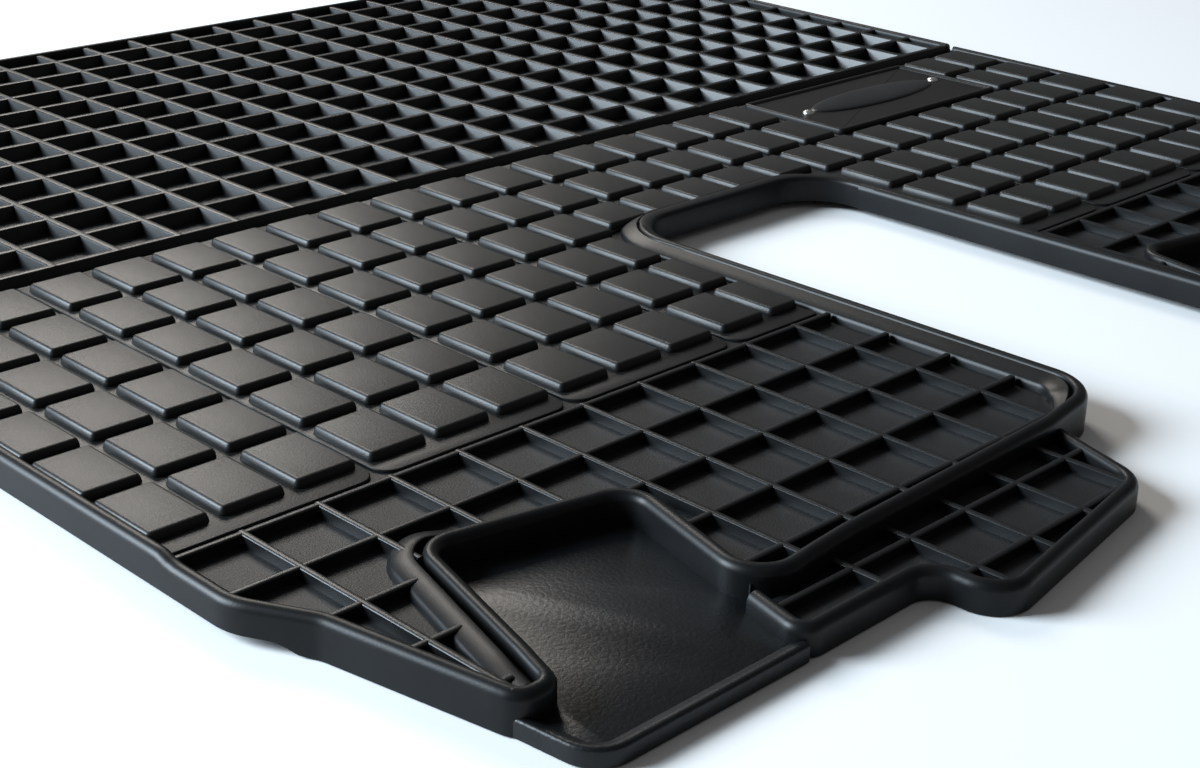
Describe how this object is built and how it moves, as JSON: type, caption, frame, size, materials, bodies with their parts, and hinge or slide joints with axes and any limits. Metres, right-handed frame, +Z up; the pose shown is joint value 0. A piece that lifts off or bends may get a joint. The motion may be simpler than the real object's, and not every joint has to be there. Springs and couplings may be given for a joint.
{
  "type": "truck cab floor mat",
  "caption": "Moulded rubber truck floor mat with raised rim, tread blocks, rib grids, pedal slot, step pockets and a rear section that folds up.",
  "frame": {"origin": "on the ground under the middle of the mat's bounding box", "axes": "+X across the mat from the left side to the far side, +Y from the near end with the pedal slot to the rear, +Z up"},
  "size_m": [0.6928, 0.7032, 0.015],
  "materials": {
    "floor_rubber": "fine leather grain, dull",
    "rim_rubber": "fine grain, satin",
    "rib_rubber": "satin",
    "tread_rubber": "fine grain, dull",
    "pocket_rubber": "leather wrinkles, satin",
    "badge_panel": "smooth, dark",
    "badge_oval": "smooth, satin",
    "pin_metal": "dull",
    "stud_rubber": "dull"
  },
  "bodies": {
    "front_section": {"left_rim": "rim_rubber", "near_end_rim": "rim_rubber", "slot_near_rim": "rim_rubber", "slot_end_rim": "rim_rubber", "slot_far_rim": "rim_rubber", "far_end_rim": "rim_rubber", "far_rim": "rim_rubber", "near_floor": "floor_rubber", "far_floor": "floor_rubber", "heel_floor_rear": "floor_rubber", "heel_floor_near": "floor_rubber", "heel_floor_far": "floor_rubber", "near_ledge_ribs": "rib_rubber", "near_side_ribs": "rib_rubber", "near_rib_grid": "rib_rubber", "far_ledge_ribs": "rib_rubber", "far_rib_grid": "rib_rubber", "near_pocket_pan": "pocket_rubber", "near_pocket_wall": "rim_rubber", "far_pocket_pan": "pocket_rubber", "far_pocket_wall": "rim_rubber", "step_flap": "floor_rubber", "flap_rim": "rim_rubber", "flap_ribs": "rib_rubber", "tread_strip_1": "tread_rubber", "tread_strip_2": "tread_rubber", "tread_strip_3": "tread_rubber", "tread_strip_4": "tread_rubber", "tread_strip_5": "tread_rubber", "tread_strip_6": "tread_rubber", "tread_strip_7": "tread_rubber", "tread_strip_8": "tread_rubber", "tread_strip_9": "tread_rubber", "badge_panel": "badge_panel", "badge_oval": "badge_oval", "badge_pins": "pin_metal", "flex_web": "floor_rubber", "near_toe_grip_studs": "stud_rubber", "near_grip_studs": "stud_rubber", "far_toe_grip_studs": "stud_rubber", "far_grip_studs": "stud_rubber", "heel_grip_studs": "stud_rubber"},
    "rear_section": {"rear_tray": "floor_rubber", "rear_rib_grid": "rib_rubber", "rear_left_rim": "rim_rubber", "rear_end_rim": "rim_rubber", "rear_far_rim": "rim_rubber", "rear_grip_studs": "stud_rubber"}
  },
  "joints": [
    {"name": "rear_fold", "type": "hinge", "parent": "front_section", "child": "rear_section", "pos_m": [0, 0.04, 0.0075], "axis": [1, 0, 0], "range_deg": [0, 35]}
  ]
}
